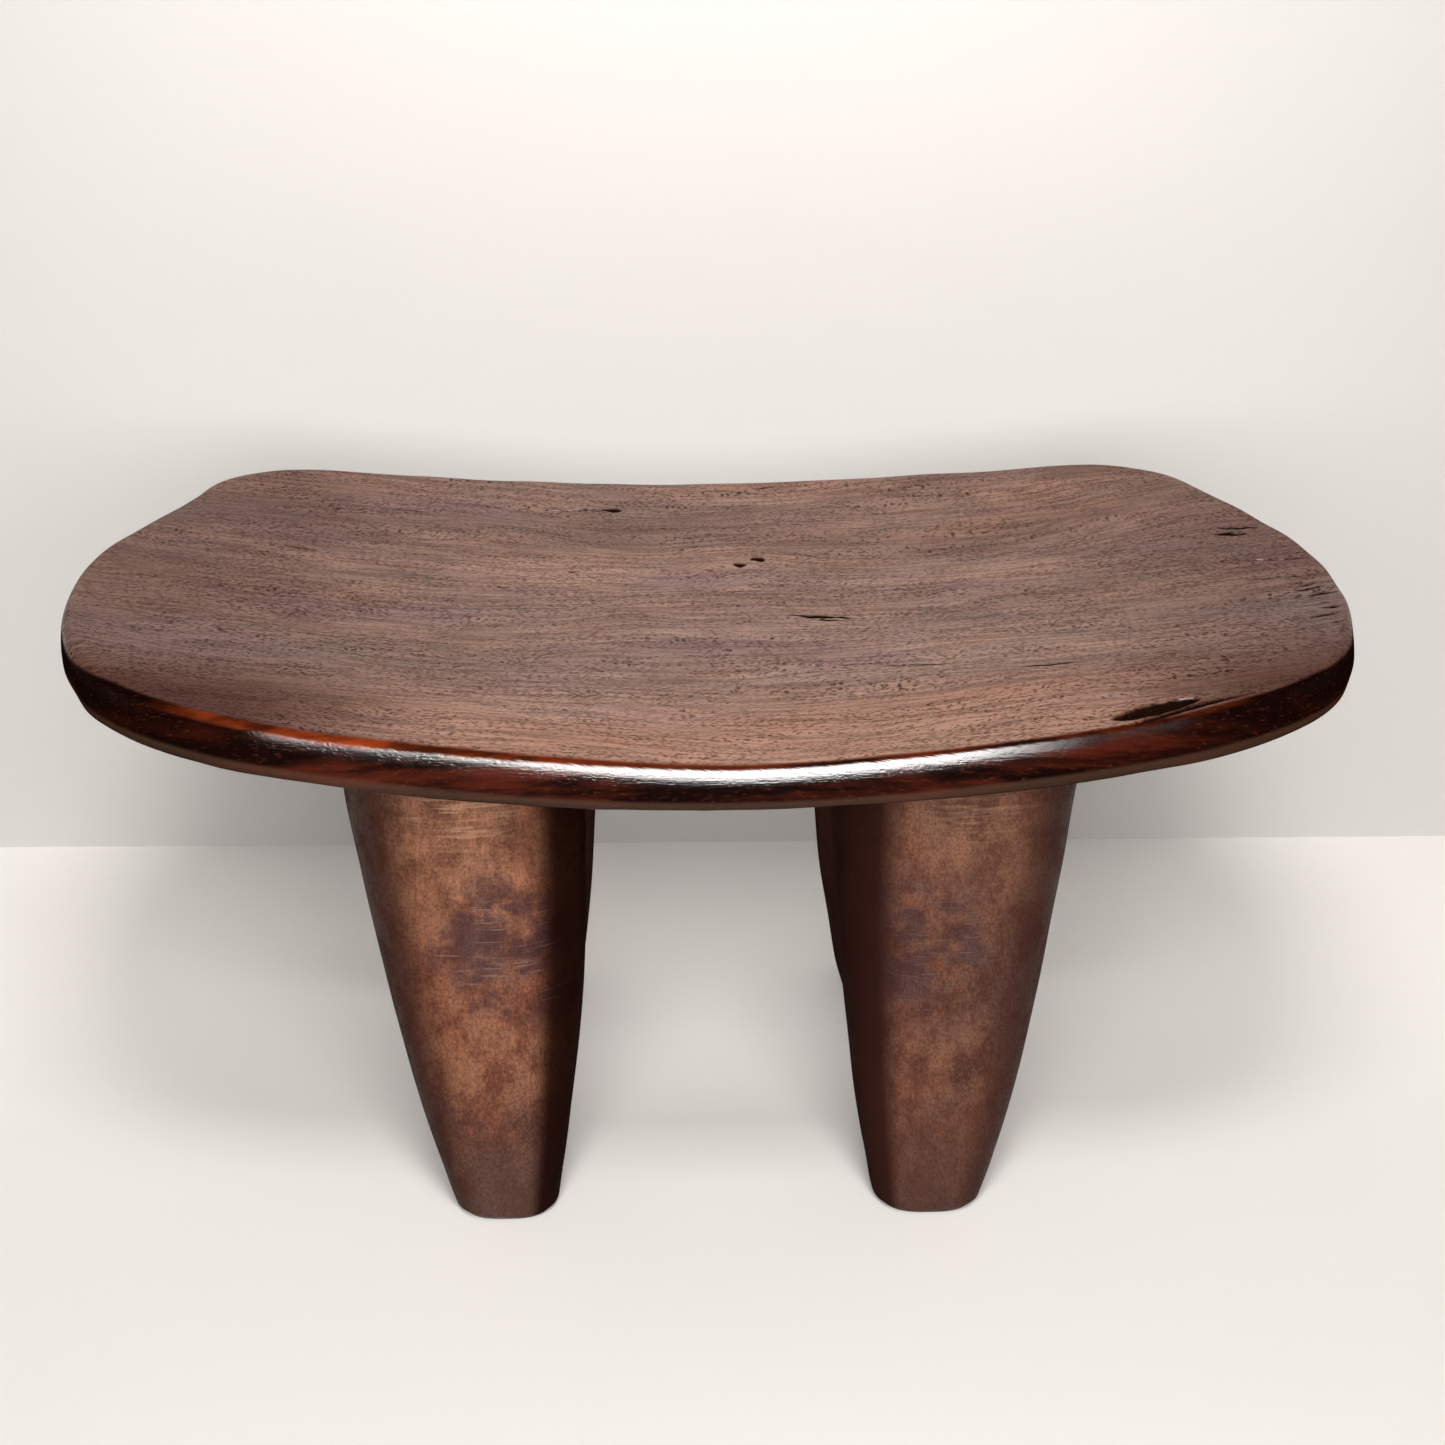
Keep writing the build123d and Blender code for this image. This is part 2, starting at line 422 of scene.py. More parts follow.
def build_seat():
    """The seat as one closed mesh: dished top, rolled edge, adzed underside, and its flaws."""
    rings = seat_rings()
    columns = np.linspace(0, 1, SEAT_COLUMNS + 1)
    flat = bmesh.new()
    grid = [[flat.verts.new((share, down, 0)) for share in columns] for down in rings]
    for upper, lower in zip(grid[:-1], grid[1:]):
        for i in range(SEAT_COLUMNS):
            flat.faces.new((upper[i], upper[i + 1], lower[i + 1], lower[i]))
    top_middle = flat.verts.new((0, 0, 1))
    under_middle = flat.verts.new((0, UNDERSIDE, 1))
    for i in range(SEAT_COLUMNS):
        flat.faces.new((top_middle, grid[0][i + 1], grid[0][i]))
        flat.faces.new((under_middle, grid[-1][i], grid[-1][i + 1]))

    # Finer faces around each flaw, cut while the mesh is still a flat chart of the surface
    places = np.array([v.co[:] for v in flat.verts])
    points = seat_surface(places[:, 0], places[:, 1])
    close = near_flaws(points, places[:, 1])
    flat.verts.index_update()
    edges = {e for f in flat.faces if any(close[v.index] for v in f.verts) for e in f.edges}
    bmesh.ops.subdivide_edges(flat, edges=list(edges), cuts=FLAW_CUTS, use_grid_fill=True)

    places = np.array([v.co[:] for v in flat.verts])
    share, down = places[:, 0], places[:, 1]
    points, normals = seat_surface(share, down), seat_normals(share, down)
    on_top = 1 - smoothstep(TOP, ROLL, down)
    underneath = smoothstep(UNDER_ROLL - 0.4, UNDER_ROLL + 0.1, down)
    lift = (TOP_SWELL_DEPTH * top_swell(points) + TOP_RIPPLE_DEPTH * top_ripple(points)) * on_top
    lift += EDGE_SWELL_DEPTH * edge_swell(points) * (1 - underneath)
    lift += adze_facets(points) * underneath
    dip = np.zeros(len(points))
    above = down < ROLL + 0.2
    for flaw in SEAT_FLAWS:
        dip = np.maximum(dip, flaw_depth(points, flaw) * above)
    hollow = np.zeros(len(points))
    for flaw in EDGE_HOLLOWS:
        hollow = np.maximum(hollow, flaw_depth(points, flaw, sharpness=2.6, wobble=0.02) * above)
    lip = flaw_depth(points, HOLLOW_LIP, wobble=0.02) * above
    points = points + normals * (lift - dip - hollow - lip)[:, None]

    # Painted shade in the recesses: how dark each flaw is painted, from its depth
    cavity = np.clip(dip / CAVITY_DARK_AT, 0, 1) + np.clip(hollow / HOLLOW_DARK_AT, 0, 1)
    rolled = np.clip(down - TOP, 0, 1) * (1 - underneath)
    attributes = {"cavity": np.clip(cavity, 0, 1), "edge": rolled, "under": underneath}
    flat.verts.index_update()
    faces = [[v.index for v in f.verts] for f in flat.faces]
    flat.free()
    piece = new_object("carved_seat", points, faces, attributes)
    clean_mesh(piece)
    return piece


# ---------------------------------------------------------------- the legs
LEG_SWELL_DEPTH, LEG_FACET_DEPTH = 0.45 * MM, 0.14 * MM
CARVE_FADE = 12 * MM            # the carving dies out over this height at the sole and the shoulder
LEG_COLUMNS = 150
LEG_RINGS = 130
SOLE_RINGS = 6


def closing_rings(ring):
    """Ever smaller copies of a leg's last ring, towards its middle."""
    centre = ring.mean(axis=0)
    return [centre + (ring - centre) * (1 - k / SOLE_RINGS) for k in range(1, SOLE_RINGS)]


def build_leg(name, side_x, side_y, shift_foot, shift_shoulder, seed):
    """One leg: a superellipse section that follows the leg's silhouettes from foot to shoulder."""
    turn = np.linspace(0, 2 * math.pi, LEG_COLUMNS, endpoint=False)
    swell = Ripple(seed, 55 * MM, stretch=(1, 1, 1.5))
    facet = Ripple(seed + 1, 17 * MM, stretch=(1, 1, 2.2))

    def section(height):
        """Plan points of the leg at this share of its height."""
        power = 2 / (LEG_SQUARENESS[0] + (LEG_SQUARENESS[1] - LEG_SQUARENESS[0]) * height)
        section_x = np.sign(np.cos(turn)) * np.abs(np.cos(turn))**power
        section_y = np.sign(np.sin(turn)) * np.abs(np.sin(turn))**power
        nudge = shift_foot + (shift_shoulder - shift_foot) * height
        inner, outer = through(LEG_INNER, height) + nudge, through(LEG_OUTER, height)
        centre_y, half_y = through(LEG_CENTRE, height), through(LEG_HALF_DEPTH, height)
        centre_x, half_x = (inner + outer) / 2, (outer - inner) / 2
        lean = LEG_LEAN * (0.5 - height)
        x = side_x * (centre_x + half_x * section_x) + lean
        y = side_y * (centre_y + half_y * section_y)
        return np.stack([x, y], axis=-1)

    shoulder = section(1.0)
    top = bowl(shoulder, seat_low[2], UNDER_RADIUS) + LEG_EMBED
    middle = shoulder.mean(axis=0)
    outward = shoulder - middle
    outward /= np.linalg.norm(outward, axis=1, keepdims=True)
    rows = []
    for share in np.linspace(0, 1, LEG_RINGS)**0.9:
        height = share * top
        plan = section(share)
        below_seat = np.clip(top - LEG_EMBED - height, 0, COVE_RADIUS)
        flare = COVE_RADIUS - np.sqrt(COVE_RADIUS**2 - (COVE_RADIUS - below_seat)**2)
        plan = plan + outward * flare[:, None]
        rounding = np.clip(SOLE_ROUND - height, 0, SOLE_ROUND)
        plan = plan - outward * (SOLE_ROUND - np.sqrt(SOLE_ROUND**2 - rounding**2))[:, None]
        points = np.concatenate([plan, height[:, None]], axis=1)
        fade = smoothstep(0, CARVE_FADE, height) * smoothstep(-LEG_EMBED, CARVE_FADE, top - height)
        carve = (LEG_SWELL_DEPTH * swell(points) + LEG_FACET_DEPTH * facet(points)) * fade
        points[:, :2] += outward * carve[:, None]
        rows.append(points)

    # Closed over the sole and over the hidden top
    rows = closing_rings(rows[0])[::-1] + rows + closing_rings(rows[-1])
    vertices = np.concatenate(rows)
    faces = []
    for row in range(len(rows) - 1):
        for i in range(LEG_COLUMNS):
            j = (i + 1) % LEG_COLUMNS
            low, high = row * LEG_COLUMNS, (row + 1) * LEG_COLUMNS
            faces.append((low + i, low + j, high + j, high + i))
    last = (len(rows) - 1) * LEG_COLUMNS
    faces.append(tuple(range(LEG_COLUMNS))[::-1])
    faces.append(tuple(last + i for i in range(LEG_COLUMNS)))

    # Share of the way from the middle of the leg to its inner and outer silhouettes
    level = np.clip(vertices[:, 2] / top.mean(), 0, 1)
    middle_x = (through(LEG_INNER, level) + through(LEG_OUTER, level)) / 2
    reach_x = (through(LEG_OUTER, level) - through(LEG_INNER, level)) / 2
    aside = (side_x * vertices[:, 0] - middle_x) / reach_x
    inward, outward_share = smoothstep(-0.45, -0.74, aside), smoothstep(0.25, 0.80, aside)
    below_seat = vertices[:, 2] - bowl(vertices[:, :2], seat_low[2], UNDER_RADIUS)
    shade = smoothstep(-14 * MM, 2 * MM, below_seat)
    attributes = {"inner": inward, "outer": outward_share, "shoulder": shade}
    piece = new_object(name, vertices, faces, attributes)
    clean_mesh(piece)
    return piece


# ---------------------------------------------------------------- material building blocks
class Nodes:
    """A short way to write a shader: each call adds one node and returns its output."""

    def __init__(self, name):
        self.material = bpy.data.materials.new(name)
        self.material.use_nodes = True
        self.tree = self.material.node_tree
        self.tree.nodes.clear()
        self.output = self.tree.nodes.new("ShaderNodeOutputMaterial")

    def plug(self, socket, value):
        if isinstance(value, bpy.types.NodeSocket):
            self.tree.links.new(value, socket)
        elif value is not None:
            socket.default_value = value

    def place(self, scale):
        """Object coordinates in metres, stretched by this scale."""
        coordinates = self.tree.nodes.new("ShaderNodeTexCoord").outputs["Object"]
        return self.stretch(coordinates, scale)

    def stretch(self, vector, scale, turn=(0, 0, 0)):
        node = self.tree.nodes.new("ShaderNodeMapping")
        node.vector_type = "POINT"
        self.plug(node.inputs["Vector"], vector)
        node.inputs["Scale"].default_value = scale
        node.inputs["Rotation"].default_value = turn
        return node.outputs["Vector"]

    def math(self, operation, a, b=None):
        node = self.tree.nodes.new("ShaderNodeMath")
        node.operation = operation
        self.plug(node.inputs[0], a)
        self.plug(node.inputs[1], b)
        return node.outputs[0]

    def plus(self, a, b):
        return self.math("ADD", a, b)

    def minus(self, a, b):
        return self.math("SUBTRACT", a, b)

    def times(self, a, b):
        return self.math("MULTIPLY", a, b)

    def rest(self, a):
        """What is left of 1."""
        return self.math("SUBTRACT", 1.0, a)

    def add_vector(self, a, b):
        node = self.tree.nodes.new("ShaderNodeVectorMath")
        node.operation = "ADD"
        self.plug(node.inputs[0], a)
        self.plug(node.inputs[1], b)
        return node.outputs["Vector"]

    def noise(self, vector, detail, roughness=0.55, distortion=0.0):
        """Soft noise. Its size comes from the vector."""
        node = self.tree.nodes.new("ShaderNodeTexNoise")
        self.plug(node.inputs["Vector"], vector)
        node.inputs["Scale"].default_value = 1.0
        node.inputs["Detail"].default_value = detail
        node.inputs["Roughness"].default_value = roughness
        node.inputs["Distortion"].default_value = distortion
        return node.outputs["Fac"]

    def cells(self, vector):
        """Distance to the nearest of scattered points. Their spacing comes from the vector."""
        node = self.tree.nodes.new("ShaderNodeTexVoronoi")
        self.plug(node.inputs["Vector"], vector)
        node.inputs["Scale"].default_value = 1.0
        return node.outputs["Distance"]

    def range(self, value, low, high, to_low=0.0, to_high=1.0):
        """Smooth step from to_low to to_high as the value goes from low to high."""
        node = self.tree.nodes.new("ShaderNodeMapRange")
        node.interpolation_type = "SMOOTHSTEP"
        self.plug(node.inputs["Value"], value)
        ends = {"From Min": low, "From Max": high, "To Min": to_low, "To Max": to_high}
        for label, number in ends.items():
            node.inputs[label].default_value = number
        return node.outputs["Result"]

    def mix(self, factor, a, b):
        """Colour a, going over to colour b as the factor goes from 0 to 1."""
        node = self.tree.nodes.new("ShaderNodeMix")
        node.data_type = "RGBA"
        node.clamp_factor = True
        self.plug(node.inputs["Factor"], factor)
        colours = [s for s in node.inputs if s.type == "RGBA"]
        self.plug(colours[0], a)
        self.plug(colours[1], b)
        return [s for s in node.outputs if s.type == "RGBA"][0]

    def attribute(self, label):
        node = self.tree.nodes.new("ShaderNodeAttribute")
        node.attribute_name = label
        return node.outputs["Fac"]

    def axis(self, vector, letter):
        node = self.tree.nodes.new("ShaderNodeSeparateXYZ")
        self.plug(node.inputs[0], vector)
        return node.outputs[letter]

    def combine(self, x=0.0, y=0.0):
        node = self.tree.nodes.new("ShaderNodeCombineXYZ")
        self.plug(node.inputs[0], x)
        self.plug(node.inputs[1], y)
        return node.outputs[0]

    def bump(self, height, distance, strength=1.0, normal=None):
        node = self.tree.nodes.new("ShaderNodeBump")
        self.plug(node.inputs["Height"], height)
        node.inputs["Distance"].default_value = distance
        node.inputs["Strength"].default_value = strength
        self.plug(node.inputs["Normal"], normal)
        return node.outputs["Normal"]

    def surface(self, **sockets):
        """Principled shader. Socket names are written with underscores."""
        shader = self.tree.nodes.new("ShaderNodeBsdfPrincipled")
        for label, value in sockets.items():
            self.plug(shader.inputs[label.replace("_", " ")], value)
        self.tree.links.new(shader.outputs["BSDF"], self.output.inputs["Surface"])
        return self.material


def rgb(red, green, blue):
    return (red, green, blue, 1.0)


# ---------------------------------------------------------------- wood of the seat
def seat_wood():
    """Dark hardwood under wax: greyed sheen on top, coppery towards the front, glossy dark edge."""
    n = Nodes("seat_wood")
    place = n.place((1, 1, 1))
    x, y = n.axis(place, "X"), n.axis(place, "Y")
    roll, cavity, under = n.attribute("edge"), n.attribute("cavity"), n.attribute("under")
    edge = n.range(n.minus(roll, n.range(y, -0.112, -0.065, 0.0, 0.45)), 0.03, 0.20)
    on_top = n.rest(n.math("MAXIMUM", edge, under))
    sound = n.rest(cavity)

    # Grain runs along X and wanders a little
    wander = n.noise(n.place((9, 22, 9)), detail=2)
    bend = n.combine(y=n.times(n.minus(wander, 0.5), 0.030))
    grain_place = n.add_vector(place, bend)

    blotch = n.noise(n.stretch(grain_place, (8, 26, 20)), detail=4, roughness=0.6)
    purple = n.noise(n.stretch(grain_place, (12, 34, 20), (0, 0, 0.3)), detail=3, roughness=0.6)
    colour = n.mix(n.range(blotch, 0.34, 0.68), rgb(0.110, 0.044, 0.024), rgb(0.240, 0.108, 0.062))
    colour = n.mix(n.times(n.range(purple, 0.48, 0.70), 0.70), colour, rgb(0.130, 0.042, 0.040))

    # Worn, warmer wood towards the front, fading at both ends
    front_edge = n.plus(y, n.times(n.minus(blotch, 0.5), 0.10))
    front = n.range(front_edge, -0.110, -0.045, 1.0, 0.0)
    ends = n.range(n.math("ABSOLUTE", n.plus(x, -0.01)), 0.09, 0.18, 1.0, 0.15)
    copper = n.times(n.times(front, ends), 0.90)
    colour = n.mix(copper, colour, rgb(0.330, 0.130, 0.060))
    # Painted shade: the top is darker towards both ends and darker still at the two front corners, where
    # its sheen falls away
    aside = n.math("ABSOLUTE", n.plus(x, -0.012))
    corner_shade = n.times(n.range(aside, 0.085, 0.150), n.range(y, -0.050, -0.105))
    colour = n.mix(n.times(n.range(aside, 0.07, 0.19), 0.55), colour, rgb(0.080, 0.026, 0.016))
    colour = n.mix(n.times(corner_shade, 0.80), colour, rgb(0.062, 0.016, 0.010))

    # Fine streaks, then pores as short dark dashes in two sizes
    streak = n.noise(n.stretch(grain_place, (24, 620, 300)), detail=5, roughness=0.70)
    dull = n.range(streak, 0.40, 0.58, 1.0, 0.0)
    colour = n.mix(n.times(dull, 0.52), colour, rgb(0.045, 0.017, 0.011))
    fray = n.noise(n.place((140, 140, 140)), detail=1)
    jitter = n.combine(y=n.times(n.minus(fray, 0.5), 0.005))
    pore_place = n.add_vector(grain_place, jitter)
    crowd = n.noise(n.place((34, 80, 60)), detail=2)
    small = n.cells(n.stretch(pore_place, (520, 1400, 700)))
    large = n.cells(n.stretch(pore_place, (250, 820, 400)))
    small_pore = n.times(n.range(small, 0.22, 0.46, 1.0, 0.0), n.range(crowd, 0.30, 0.54, 0.40, 1.0))
    large_pore = n.times(n.range(large, 0.12, 0.27, 1.0, 0.0), n.range(crowd, 0.42, 0.60, 0.15, 1.0))
    pore = n.math("MAXIMUM", small_pore, large_pore)
    colour = n.mix(n.times(pore, 0.80), colour, rgb(0.016, 0.005, 0.004))

    # Edge: red-black under a gloss, rubbed to blood red just where it leaves the top
    rub = n.noise(n.stretch(place, (22, 40, 170)), detail=4, roughness=0.6)
    painted_glint = n.noise(n.stretch(place, (420, 900, 1500)), detail=2)
    middle = n.range(n.math("ABSOLUTE", x), 0.10, 0.16, 1.0, 0.0)
    red = n.times(n.range(rub, 0.42, 0.70), n.plus(n.times(middle, 0.8), 0.2))
    edge_colour = n.mix(red, rgb(0.0040, 0.0012, 0.0009), rgb(0.050, 0.0080, 0.0034))
    # Painted glints: small brighter red flecks scattered over the dark edge
    edge_colour = n.mix(n.range(painted_glint, 0.56, 0.76, 0.0, 0.30), edge_colour, rgb(0.090, 0.020, 0.009))
    # Painted reflection of the floor: a paler line along the bottom of the front edge
    painted_floor_reflection = n.times(n.range(roll, 0.93, 1.0), n.range(y, -0.02, -0.06))
    edge_colour = n.mix(n.times(painted_floor_reflection, 0.45), edge_colour, rgb(0.056, 0.029, 0.018))
    left = n.range(x, -0.09, -0.02, 1.0, 0.0)
    line_end = n.plus(n.times(left, 0.11), 0.26)
    rim_line = n.times(n.range(roll, 0.05, 0.14),
                      n.range(n.minus(roll, line_end), 0.0, 0.10, 1.0, 0.0))
    rim_line = n.times(rim_line, n.range(rub, 0.40, 0.60, 0.15, 1.0))
    rim_line = n.times(rim_line, n.range(y, -0.110, -0.124))
    rim_line = n.times(rim_line, n.plus(n.times(left, 0.78), 0.22))
    rim_line = n.times(rim_line, n.range(n.math("ABSOLUTE", x), 0.135, 0.165, 1.0, 0.0))
    edge_colour = n.mix(rim_line, edge_colour, rgb(0.205, 0.031, 0.007))
    colour = n.mix(edge, colour, edge_colour)
    colour = n.mix(under, colour, rgb(0.014, 0.0055, 0.0036))
    # Painted shade: checks, pits and the hollow turn near black with depth
    colour = n.mix(n.times(cavity, 0.97), colour, rgb(0.004, 0.0016, 0.0012))

    # Wax fills everything but pores, dull streaks, smudges and cavities
    smudge = n.noise(n.stretch(grain_place, (11, 30, 30), (0, 0, -0.4)), detail=4, roughness=0.62)
    wax = n.range(smudge, 0.36, 0.62, 0.80, 1.0)
    wax = n.times(wax, n.rest(n.times(dull, 0.36)))
    wax = n.times(wax, n.rest(n.times(pore, 0.80)))
    wax = n.times(wax, n.range(aside, 0.06, 0.18, 1.0, 0.70))
    wax = n.times(wax, n.rest(n.times(corner_shade, 0.75)))

    # Along the edge the gloss is a band on the roll's shoulder, frayed by slanting tool marks
    slant = n.plus(n.times(y, 3.0), n.times(x, 1.0))
    marks = n.noise(n.combine(n.times(slant, 900), n.times(x, 60)), detail=3)
    frayed = n.plus(roll, n.times(n.minus(marks, 0.5), 0.16))
    band_start = n.minus(frayed, n.times(left, 0.07))
    band = n.times(n.range(band_start, 0.27, 0.36), n.range(frayed, 0.60, 0.72, 1.0, 0.14))
    band = n.times(band, n.range(x, -0.135, -0.095, 0.07, 1.0))
    band = n.times(band, n.range(x, 0.055, 0.105, 1.0, 0.03))
    band = n.times(band, n.range(marks, 0.30, 0.50, 0.78, 1.0))
    band = n.times(band, n.range(y, -0.09, -0.11, 0.25, 1.0))
    wax = n.plus(n.times(wax, on_top), n.times(band, edge))
    wax = n.plus(n.times(wax, n.rest(under)), n.times(under, 0.20))
    wax = n.times(wax, sound)

    height = n.minus(n.times(streak, 0.50), n.times(pore, 0.9))
    height = n.times(height, n.plus(n.times(on_top, 0.88), 0.12))
    fibre = n.noise(n.stretch(place, (130, 1700, 2300), (0, 0.22, 0.10)), detail=3)
    height = n.plus(height, n.times(n.times(fibre, edge), 0.32))
    normal = n.bump(height, distance=0.00025, strength=0.85)
    return n.surface(
        Base_Color=colour, Roughness=0.6, Specular_IOR_Level=0.0, Normal=normal,
        Coat_Weight=wax, Coat_Roughness=0.20, Coat_IOR=1.5, Coat_Normal=normal)


# ---------------------------------------------------------------- wood of the legs
def leg_wood(name, highlight_place, scuff_place, gleam_place, depth):
    """Coppery red-brown wood with a painted highlight, dark patches, scratches and flanks darkened by
    painted shade.
    """
    n = Nodes(name)
    place = n.place((1, 1, 1))
    z = n.axis(place, "Z")
    inner, outer, shoulder = n.attribute("inner"), n.attribute("outer"), n.attribute("shoulder")

    def near(centre, reach, softness):
        """1 close to a point, fading to 0 over softness beyond reach."""
        node = n.tree.nodes.new("ShaderNodeVectorMath")
        node.operation = "DISTANCE"
        n.plug(node.inputs[0], place)
        node.inputs[1].default_value = centre
        return n.range(node.outputs["Value"], reach, reach + softness, 1.0, 0.0)

    blotch = n.noise(n.place((26, 26, 19)), detail=5, roughness=0.62)
    dapple = n.noise(n.stretch(place, (95, 95, 80), (0.5, 0.3, 0)), detail=5, roughness=0.70)
    colour = n.mix(n.range(blotch, 0.40, 0.60), rgb(0.044, 0.0110, 0.0070), rgb(0.150, 0.047, 0.023))
    colour = n.mix(n.range(dapple, 0.50, 0.66, 0.0, 0.60), colour, rgb(0.048, 0.014, 0.012))
    # Painted highlights: a lighter coppery patch high on the leg and a smaller gleam lower down
    painted_highlight = n.times(near(highlight_place, 0.006, 0.050), n.range(dapple, 0.34, 0.60, 1.0, 0.35))
    colour = n.mix(n.times(painted_highlight, 0.80), colour, rgb(0.315, 0.132, 0.064))
    gleam = n.times(near(gleam_place, 0.004, 0.030), n.range(dapple, 0.40, 0.56, 1.0, 0.15))
    colour = n.mix(n.times(gleam, 0.70), colour, rgb(0.225, 0.095, 0.045))

    grain = n.noise(n.place((420, 420, 30)), detail=4, roughness=0.6)
    colour = n.mix(n.range(grain, 0.38, 0.60, 0.20, 0.0), colour, rgb(0.036, 0.010, 0.007))
    fleck = n.noise(n.place((1300, 1300, 900)), detail=3, roughness=0.7)
    colour = n.mix(n.range(fleck, 0.38, 0.54, 0.34, 0.0), colour, rgb(0.026, 0.007, 0.005))
    colour = n.mix(n.range(fleck, 0.54, 0.70, 0.0, 0.26), colour, rgb(0.340, 0.160, 0.090))
    pore = n.range(n.cells(n.place((700, 700, 190))), 0.10, 0.24, 1.0, 0.0)
    colour = n.mix(n.times(pore, 0.28), colour, rgb(0.020, 0.006, 0.005))

    # Scratched dark patch, and pale ripples where a tool chattered near the shoulder
    ragged = n.range(n.noise(n.place((75, 75, 95)), detail=4, roughness=0.65), 0.38, 0.56)
    scuff = n.times(near(scuff_place, 0.013, 0.022), ragged)
    colour = n.mix(n.times(scuff, 0.85), colour, rgb(0.044, 0.016, 0.017))
    line_a = n.noise(n.stretch(place, (55, 55, 1500), (0.1, 0.42, 0.2)), detail=2)
    line_b = n.noise(n.stretch(place, (55, 55, 1400), (0.0, -0.62, 0.1)), detail=2)
    scratch = n.math("MAXIMUM", n.range(line_a, 0.62, 0.72), n.range(line_b, 0.63, 0.73))
    scratch = n.times(scratch, n.plus(n.times(scuff, 0.8), 0.03))
    colour = n.mix(n.times(scratch, 0.60), colour, rgb(0.300, 0.180, 0.150))
    chatter_place = (highlight_place[0], highlight_place[1], highlight_place[2] + 0.020)
    ripple = n.noise(n.stretch(place, (60, 60, 850), (0.05, 0.06, 0)), detail=2, distortion=0.4)
    chatter = n.times(n.range(ripple, 0.50, 0.66), near(chatter_place, 0.004, 0.022))
    colour = n.mix(n.times(chatter, 0.40), colour, rgb(0.440, 0.260, 0.160))

    # Painted shade: darker feet, darker outer and inner flanks, the shaded join under the seat, and the
    # whole leg darker by depth where less light reaches it
    wobble = n.times(n.minus(blotch, 0.5), 0.06)
    foot = n.range(n.plus(z, wobble), 0.000, 0.048, 1.0, 0.0)
    colour = n.mix(n.times(foot, 0.66), colour, rgb(0.058, 0.029, 0.021))
    colour = n.mix(n.times(outer, 0.93), colour, rgb(0.030, 0.0090, 0.0055))
    colour = n.mix(n.times(inner, 0.96), colour, rgb(0.0080, 0.0020, 0.0013))
    colour = n.mix(n.times(shoulder, 0.70), colour, rgb(0.024, 0.008, 0.005))
    colour = n.mix(depth, colour, rgb(0.036, 0.013, 0.010))

    rough = n.plus(n.range(dapple, 0.3, 0.7, 0.36, 0.50), n.range(fleck, 0.35, 0.65, 0.06, -0.04))
    wax = n.times(n.range(fleck, 0.36, 0.56, 0.35, 0.80), n.range(dapple, 0.40, 0.62, 1.0, 0.45))
    wax = n.times(wax, n.rest(n.times(inner, 0.95)))
    wax = n.times(wax, n.rest(n.times(outer, 0.60)))
    height = n.plus(n.times(grain, 0.4), n.times(fleck, 0.5))
    height = n.minus(height, n.times(pore, 0.3))
    height = n.plus(height, n.times(chatter, 0.9))
    height = n.minus(height, n.times(scratch, 0.8))
    normal = n.bump(height, distance=0.00018, strength=0.75)
    lumps = n.noise(n.place((140, 140, 110)), detail=3)
    normal = n.bump(lumps, distance=0.0007, strength=0.40, normal=normal)
    return n.surface(
        Base_Color=colour, Roughness=rough, Specular_IOR_Level=0.0, Normal=normal,
        Coat_Weight=wax, Coat_Roughness=0.34, Coat_IOR=1.5, Coat_Normal=normal)


# ---------------------------------------------------------------- the object
seat = build_seat()
seat.data.materials.append(seat_wood())
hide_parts("seat")
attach(seat, "root")

# For each leg: sides, how its inner face differs (foot, shoulder), its seed and how much painted shade
# darkens its wood
LEGS = {
    "front_left_leg": (-1, -1, 0.0, 0.0, 51, 0.0),
    "front_right_leg": (1, -1, -1.3 * MM, -1.3 * MM, 61, 0.42),
    "back_left_leg": (-1, 1, -3.6 * MM, -2.7 * MM, 71, 0.2),
    "back_right_leg": (1, 1, 0.2 * MM, -1.5 * MM, 81, 0.3),
}
# Places on a leg, in mm out along X, out along Y and up: painted highlight, scratched patch, lower painted
# gleam
LEG_MARKS = [(77, 80, 118), (63, 84, 88), (68, 88, 54)]

for node, (side_x, side_y, shift_foot, shift_shoulder, seed, depth) in LEGS.items():
    leg = build_leg("carved_" + node, side_x, side_y, shift_foot, shift_shoulder, seed)
    marks = [(x * MM * side_x, y * MM * side_y, z * MM) for x, y, z in LEG_MARKS]
    leg.data.materials.append(leg_wood("leg_wood_" + node, *marks, depth))
    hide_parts(node)
    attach(leg, "root")


# ---------------------------------------------------------------- floor, wall, light and camera
WALL_DISTANCE = 0.198           # from the middle of the seat back to the wall
WALL_TURN = math.radians(-0.5)
STAGE_SIZE = 6.0
WALL_HEIGHT = 1.6
LAMP_COLOUR = (1.0, 0.985, 0.965)


def clear_from_behind(n):
    """Lets the camera, and nothing else, see through a sheet's back, so the stage never hides the stool."""
    behind = n.tree.nodes.new("ShaderNodeNewGeometry").outputs["Backfacing"]
    camera_ray = n.tree.nodes.new("ShaderNodeLightPath").outputs["Is Camera Ray"]
    clear = n.tree.nodes.new("ShaderNodeBsdfTransparent").outputs["BSDF"]
    choice = n.tree.nodes.new("ShaderNodeMixShader")
    surface = n.output.inputs["Surface"]
    n.plug(choice.inputs[0], n.times(behind, camera_ray))
    n.plug(choice.inputs[1], surface.links[0].from_socket)
    n.plug(choice.inputs[2], clear)
    n.plug(surface, choice.outputs["Shader"])


